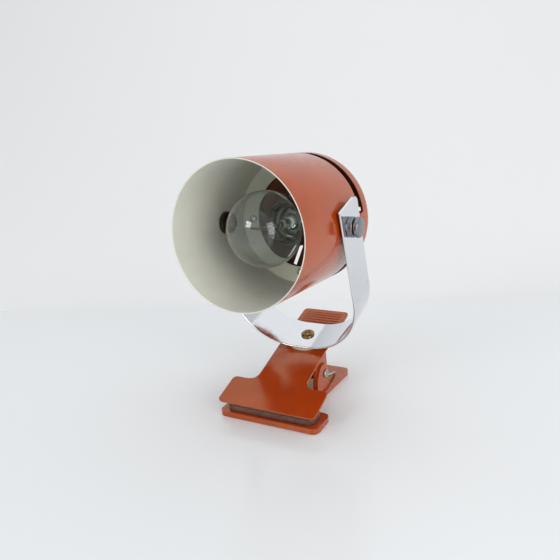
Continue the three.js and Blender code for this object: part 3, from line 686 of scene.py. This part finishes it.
for side, sign in (("left", -1), ("right", 1)):
    out = sign * ACROSS
    piece(turned(f"collar_{side}", collar_profile, middle, out, ring=True, facets=96), "yoke",
          [nickel], [f"pivot_collar_{side}"])
    piece(turned(f"knob_{side}", knob_profile, middle, out, facets=96), f"knob_{side}",
          [nickel], [f"pivot_knob_{side}"])
    piece(turned(f"spacer_{side}", spacer_profile, middle, out, ring=True, facets=64), "yoke",
          [fibre], [f"pivot_spacer_{side}"])
    piece(turned(f"fibre_washer_{side}", washer_profile, middle, out, ring=True, facets=64), "head",
          [fibre], [f"pivot_washer_{side}"])


# ---- Clamp -------------------------------------------------------------------------------
# Two levers pressed from 1.5 mm sheet and enamelled orange. The lower one has its edge folded
# down all round, and its ears stand outside the upper lever's ears on the hinge pin.
EASED_ANGLE = math.radians(20)
PRESSED_SHARP_ANGLE = math.radians(35)


def eased_copy(node, name, material, edge, body, fold=None, fold_edge=0.0, steps=3):
    """The CAD node's own shape with its edges eased, as a press or a mould leaves them.

    Coplanar triangles are joined, then each edge sharper than EASED_ANGLE is rounded by edge
    metres, or by fold_edge where fold says that a corner of the sheet was bent, not cut.
    """
    source = frame["nodes"][node].data
    mesh = source.copy()
    mesh.name = name
    mesh.materials.clear()
    bm = bmesh.new()
    bm.from_mesh(mesh)
    bmesh.ops.remove_doubles(bm, verts=bm.verts, dist=WELD_DISTANCE)
    bmesh.ops.dissolve_limit(bm, angle_limit=math.radians(0.6), verts=bm.verts, edges=bm.edges)
    weight = bm.edges.layers.float.new("bevel_weight_edge")
    for e in bm.edges:
        if len(e.link_faces) == 2 and e.calc_face_angle() > EASED_ANGLE:
            bent = fold is not None and all(fold(v.co / MM) for v in e.verts)
            e[weight] = 1.0 if bent else edge / max(fold_edge, edge)
    bm.to_mesh(mesh)
    bm.free()
    thing = bpy.data.objects.new(name, mesh)
    bpy.context.scene.collection.objects.link(thing)
    bevel = thing.modifiers.new("eased edges", "BEVEL")
    bevel.limit_method = "WEIGHT"
    bevel.width = max(fold_edge, edge)
    bevel.segments = steps
    bevel.use_clamp_overlap = True
    mesh.shade_smooth()
    mesh.set_sharp_from_angle(angle=PRESSED_SHARP_ANGLE)
    mesh.materials.append(material)
    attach(thing, body)
    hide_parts(node)
    return thing


LOWER_TOP = 4.2
eased_copy("lower_lever", "lower_lever_pressing", orange_enamel, 0.35 * MM, "base",
           fold=lambda v: abs(v.z - LOWER_TOP) < 0.05, fold_edge=1.2 * MM, steps=4)
eased_copy("upper_lever", "upper_lever_pressing", orange_enamel, 0.35 * MM, "grip")


def soft_vinyl():
    """Soft clear vinyl, browned and hazy: the orange enamel behind it shows through, dimmed."""
    material, tree, shader = new_material("soft clear vinyl, aged")
    haze = speckle(tree, 5 * MM, detail=4)
    tree.links.new(blended(tree, spread(tree, haze, 0.35, 0.7, 0, 1), "#a97f6c", "#8a6050"),
                   shader.inputs["Base Color"])
    shader.inputs["Transmission Weight"].default_value = 0.7
    shader.inputs["IOR"].default_value = 1.5
    tree.links.new(spread(tree, haze, 0.3, 0.7, 0.3, 0.45), shader.inputs["Roughness"])
    bumped(tree, shader, speckle(tree, 1.2 * MM, detail=2), 0.015 * MM)
    return material


vinyl = soft_vinyl()
eased_copy("lower_pad", "lower_jaw_pad", vinyl, 0.9 * MM, "base", steps=4)
eased_copy("upper_pad", "upper_jaw_pad", vinyl, 0.9 * MM, "grip", steps=4)

pin_head = 21.8
pin_profile = filleted([
    (0, -pin_head - 1.4, 0), (2.7, -pin_head - 1.4, 0.7), (3.6, -pin_head - 0.7, 0.5),
    (3.6, -pin_head, 0.1), (STUD_R, -pin_head, 0), (STUD_R, pin_head, 0), (3.6, pin_head, 0.1),
    (3.6, pin_head + 0.7, 0.5), (2.7, pin_head + 1.4, 0.7), (0, pin_head + 1.4, 0),
])
piece(turned("hinge_pin_turned", pin_profile, pin_centre, ACROSS, facets=48), "base",
      [rivet_steel], ["hinge_pin"])


# ---- Clamp spring ------------------------------------------------------------------------
# A torsion spring of 2 mm bright steel wire: its coil lies on the hinge pin, one leg runs
# back along the lower lever, and the other runs up under the handle.
def wire(name, path, radius, reference, sides=12):
    """A round section carried along a path, and closed at both ends.

    At each point the section lies square to the path's direction: one spoke is the cross
    product of the direction and the reference, and the other is square to both. The path
    never runs along the reference.
    """
    step = np.gradient(path, axis=0)
    step /= np.linalg.norm(step, axis=1)[:, None]
    spoke = np.cross(step, reference)
    spoke /= np.linalg.norm(spoke, axis=1)[:, None]
    other = np.cross(step, spoke)
    a = np.linspace(0, 2 * np.pi, sides, endpoint=False)[None, :, None]
    tube = path[:, None] + radius * (np.cos(a) * spoke[:, None] + np.sin(a) * other[:, None])
    start = path[:1, None].repeat(sides, 1)
    end = path[-1:, None].repeat(sides, 1)
    return grid_mesh(name, np.concatenate([start, tube, end]), around=True)


SPRING_WIRE_R = 1.0
SPRING_COIL_R = 5.2
SPRING_PITCH = 2.4
SPRING_TURNS = 7
LOWER_EAR_OUTSIDE = 21.5
SPRING_GAP = 0.3
LOW_LEG_REACH = 28
HIGH_LEG_PLACE = 11
coil_start = LOWER_EAR_OUTSIDE - 2 * (LEVER_SHEET + SPRING_GAP) - SPRING_WIRE_R
leg_low = np.array([pin_centre[1] / MM + LOW_LEG_REACH, LOWER_TOP + SPRING_WIRE_R + SPRING_GAP / 2])
under_strip = YOKE_STANDOFF + LEVER_SHEET + SPRING_GAP + SPRING_WIRE_R
handle_under = yoke_base / MM - under_strip * swivel_axis + HIGH_LEG_PLACE * strip_back
leg_high = handle_under[1:]
pin_yz = pin_centre[1:] / MM


def leaves_coil(end, turn):
    """The angle round the pin where a straight leg from the coil to an end leaves it."""
    offset = end - pin_yz
    return math.atan2(offset[1], offset[0]) + turn * math.acos(SPRING_COIL_R / np.linalg.norm(offset))


first = leaves_coil(leg_low, -1)
last = leaves_coil(leg_high, 1)
sweep_angle = (first - last) % (2 * np.pi) + 2 * np.pi * SPRING_TURNS
a = first - np.linspace(0, sweep_angle, 40 * SPRING_TURNS)
coil_x = coil_start - SPRING_PITCH * (first - a) / (2 * np.pi)
coil = np.stack([coil_x, pin_yz[0] + SPRING_COIL_R * np.cos(a), pin_yz[1] + SPRING_COIL_R * np.sin(a)], 1)
low_end = np.array([coil_start, *leg_low])
high_end = np.array([coil_x[-1], *leg_high])
low_leg = np.linspace(low_end, coil[0], 12)
high_leg = np.linspace(coil[-1], high_end, 12)
spring_path = np.concatenate([low_leg[:-1], coil, high_leg[1:]])
spring_wire = drawn_steel("bright spring wire", "#c3c0b8", 0.18, 0.3 * MM)
piece(wire("clamp_spring", spring_path * MM, SPRING_WIRE_R * MM, ACROSS), "base",
      [spring_wire], ["torsion_spring"])

# ---- Lampholder and cord inlet -------------------------------------------------------------
# A two-part black phenolic holder hangs on a threaded nipple through the cap's back. A hex
# nut and a bushing with an open bore close it outside.
phenolic = moulded("black phenolic, moulded", "#17130f", "#221b15", 0.22, 0.8 * MM, 0.008 * MM)
HOLDER_R = 19.5
HOLDER_FRONT = 79.0
HOLDER_JOINT = 98.0
NIPPLE_R = 5.0
CORD_HOLE_R = 3.9
cap_outside = cap_back + CAP_DOME
skirt_profile = filleted([
    (15, HOLDER_FRONT, 0.4), (HOLDER_R, HOLDER_FRONT, 1.2), (HOLDER_R, HOLDER_JOINT, 0.4),
    (15, HOLDER_JOINT, 0.2),
], ring=True)
piece(turned("holder_front_ring", skirt_profile, rim_centre, shade_axis, ring=True), "head",
      [phenolic], ["holder_skirt"])
dome_back = cap_outside - SHADE_WALL - 0.5
dome_profile = filleted([
    (NIPPLE_R + 0.2, dome_back, 0), (HOLDER_R, dome_back, 5), (HOLDER_R, HOLDER_JOINT + 0.3, 0.4),
    (HOLDER_R - 2.2, HOLDER_JOINT + 0.3, 0.2), (HOLDER_R - 2.2, dome_back - 3.4, 1),
    (NIPPLE_R + 0.2, dome_back - 3.4, 0),
], ring=True)
piece(turned("holder_back_dome", dome_profile, rim_centre, shade_axis, ring=True), "head",
      [phenolic], ["holder_dome"])
bushing_profile = filleted([
    (NIPPLE_R + 0.1, cap_outside + 3.5, 0), (7.6, cap_outside + 3.5, 0.6), (7.6, cap_outside + 8, 1),
    (6.2, cap_outside + 12, 0.8), (CORD_HOLE_R, cap_outside + 12, 0.7), (CORD_HOLE_R, cap_outside + 9.4, 0),
    (NIPPLE_R + 0.1, cap_outside + 9.4, 0),
], ring=True)
piece(turned("cord_inlet_bushing", bushing_profile, rim_centre, shade_axis, ring=True, facets=64), "head",
      [phenolic], ["cord_bushing"])
zinc = drawn_steel("zinc plated steel", "#b9bcc0", 0.3, 0.5 * MM)
eased_copy("nipple_nut", "nipple_hex_nut", zinc, 0.4 * MM, "head")
NIPPLE_THREADS = 13
nipple_front = cap_outside - 5.2
nipple_back = cap_outside + 9
crest = np.linspace(nipple_front, nipple_back, 2 * NIPPLE_THREADS + 1)
thread_profile = np.concatenate([
    np.stack([NIPPLE_R - 0.05 - 0.35 * (np.arange(len(crest)) % 2), crest], 1),
    [[CORD_HOLE_R, nipple_back], [CORD_HOLE_R, nipple_front]],
]) * MM
piece(turned("threaded_nipple", thread_profile, rim_centre, shade_axis, ring=True, facets=64), "head",
      [zinc], ["nipple"])
for node in ("pivot_nut_left", "pivot_nut_right", "centre_contact", "terminal_screw_1",
             "terminal_screw_2"):
    eased_copy(node, node + "_eased", old_brass, 0.3 * MM, "head")
porcelain = moulded("glazed porcelain", "#e9e5da", "#dfd9cb", 0.12, 1.5 * MM, 0.006 * MM)
INSERT_FRONT = 108.0
insert_back = INSERT_FRONT + 2.8
insert_profile = filleted([
    (3, INSERT_FRONT, 0.3), (16.6, INSERT_FRONT, 0.6), (16.6, insert_back, 0.6), (3, insert_back, 0.3),
], ring=True)
piece(turned("porcelain_insert", insert_profile, rim_centre, shade_axis, ring=True, facets=64), "head",
      [porcelain], ["holder_insert"])


# ---- Bulb --------------------------------------------------------------------------------
# A clear pear-shaped bulb: a blown glass envelope, a flare and stem that carry the wires, a
# coiled filament in a shallow arch, and a rolled screw cap with a black glass insulator.
BULB_R = 27.4
BULB_CENTRE = 39.7
BULB_NECK_R = 12.5
BULB_CAP_START = 80.0
BULB_CAP_END = 103.0
GLASS_T = 0.7
THREAD_PITCH = 3.6
STEPS_PER_THREAD = 8


def envelope(radius, neck, end):
    """A circle about the bulb's centre, then a cubic curve that eases into the straight neck."""
    a = np.radians(np.linspace(-90, 38, 49))
    ball = np.stack([radius * np.cos(a), BULB_CENTRE + radius * np.sin(a)], 1)
    corners = np.array([ball[-1], ball[-1] + (-4.5, 5.7),
                        (neck, BULB_CAP_START - 13), (neck, BULB_CAP_START - 3)])
    t = np.linspace(0, 1, 25)[1:, None]
    waist = ((1 - t) ** 3 * corners[0] + 3 * t * (1 - t) ** 2 * corners[1]
             + 3 * t ** 2 * (1 - t) * corners[2] + t ** 3 * corners[3])
    return np.concatenate([ball, waist, [[neck, end]]])


def bulb_glass(name, tint, roughness):
    """Clear soda glass, thin blown: it bends light at each face and has faint ripples."""
    material, tree, shader = new_material(name)
    shader.inputs["Base Color"].default_value = colour(tint)
    shader.inputs["Transmission Weight"].default_value = 1.0
    shader.inputs["IOR"].default_value = 1.5
    shader.inputs["Roughness"].default_value = roughness
    bumped(tree, shader, speckle(tree, 14 * MM, detail=1), 0.02 * MM)
    return material


clear_glass = bulb_glass("clear soda glass, blown", "#f4f8f7", 0.0)
glass_profile = np.concatenate([
    envelope(BULB_R, BULB_NECK_R, BULB_CAP_START + 3),
    envelope(BULB_R - GLASS_T, BULB_NECK_R - GLASS_T, BULB_CAP_START + 3)[::-1],
]) * MM
piece(turned("bulb_envelope", glass_profile, rim_centre, shade_axis, facets=128), "bulb",
      [clear_glass], ["bulb_glass"])
stem_profile = filleted([
    (0, 53, 0), (1.9, 53, 1.0), (2.2, 62, 3), (3.6, 69, 3), (3.6, 74, 3), (6.0, 79, 2), (10.6, 82.6, 0.5),
    (10.6, 83.2, 0), (0, 83.2, 0),
])
piece(turned("bulb_stem_press", stem_profile, rim_centre, shade_axis, facets=64), "bulb",
      [clear_glass], ["bulb_stem"])


def in_head(x, y, s):
    """A point or points in the shade's own frame: across, down, and back from the rim, in mm."""
    x, y, s = (np.asarray(v, float)[..., None] * MM for v in (x, y, s))
    return rim_centre + x * ACROSS + y * shade_down + s * shade_axis


dark_tungsten = drawn_steel("tungsten, coiled", "#6f6c68", 0.4, 0.3 * MM)
lead_metal = drawn_steel("nickel wire", "#b5b1a6", 0.25, 0.3 * MM)
FILAMENT_TURNS = 46
t = np.linspace(-1, 1, FILAMENT_TURNS * 10)
twist = np.pi * FILAMENT_TURNS * t
FILAMENT_COIL_R = 0.42
arch = 40 - 2.5 * (1 - t ** 2)
filament_path = in_head(12.2 * t, FILAMENT_COIL_R * np.cos(twist), arch + FILAMENT_COIL_R * np.sin(twist))
piece(wire("filament_coil", filament_path, 0.12 * MM, ACROSS, sides=6), "bulb",
      [dark_tungsten], ["filament"])
for i, sign in ((1, -1), (2, 1)):
    t = np.linspace(0, 1, 12)
    lead = in_head(sign * (2.6 + 10 * t), 0 * t, 56 - 15.3 * t)
    piece(wire(f"filament_lead_{i}", lead, 0.3 * MM, shade_down, sides=8), "bulb",
          [lead_metal], [f"lead_wire_{i}"])
    support = in_head(sign * (0.8 + 4.2 * t), 0 * t, 52.8 - 14.2 * t)
    piece(wire(f"filament_support_{i}", support, 0.2 * MM, shade_down, sides=8), "bulb",
          [lead_metal], [f"support_wire_{i}"])


def screw_thread(start, end, root, depth):
    """The wavy half section of a rolled Edison thread.

    With s from start to end, the radius is root + depth * (1 - cos(2 pi (s - start) / pitch)) / 2.
    """
    count = int((end - start) / THREAD_PITCH * STEPS_PER_THREAD)
    s = np.linspace(start, end, count)
    return np.stack([root + depth * (0.5 - 0.5 * np.cos(2 * np.pi * (s - start) / THREAD_PITCH)), s], 1)


cap_metal = drawn_steel("aluminium bulb cap, rolled", "#c4c2bd", 0.3, 0.5 * MM)
thread_part = screw_thread(BULB_CAP_START + 3.4, BULB_CAP_END - 4.2, 12.3, 0.8)
collar_part = [[12.6, BULB_CAP_START + 0.3], [13.1, BULB_CAP_START + 0.3],
               [13.1, BULB_CAP_START + 2.6]]
cap_outer = np.concatenate([collar_part, thread_part, [[7, BULB_CAP_END]]])
cap_inner = cap_outer[::-1] - [0.35, 0]
piece(turned("bulb_screw_cap", np.concatenate([cap_outer, cap_inner]) * MM, rim_centre, shade_axis, ring=True,
             facets=96), "bulb", [cap_metal], ["bulb_cap"])
insulator_profile = filleted([
    (2.5, BULB_CAP_END + 2.4, 0.3), (6.6, BULB_CAP_END + 0.2, 0.4), (5.6, BULB_CAP_END + 0.2, 0),
    (2.5, BULB_CAP_END + 1.2, 0),
], ring=True)
piece(turned("bulb_cap_insulator", insulator_profile, rim_centre, shade_axis, ring=True, facets=64), "bulb",
      [phenolic], ["bulb_insulator"])
contact_profile = filleted([
    (0, BULB_CAP_END + 1, 0), (2.2, BULB_CAP_END + 1, 0.2), (2.2, BULB_CAP_END + 3.2, 1),
    (0, BULB_CAP_END + 3.6, 0),
])
piece(turned("bulb_tip_contact", contact_profile, rim_centre, shade_axis, facets=48), "bulb",
      [old_brass], ["bulb_contact"])
SHELL_FRONT = 83.5
SHELL_BACK = 107.0
shell_part = screw_thread(SHELL_FRONT, SHELL_BACK, 13.45, 0.45)
shell_profile = np.concatenate([shell_part + [0.3, 0], shell_part[::-1]]) * MM
piece(turned("holder_screw_shell", shell_profile, rim_centre, shade_axis, ring=True, facets=96), "head",
      [old_brass], ["screw_shell"])
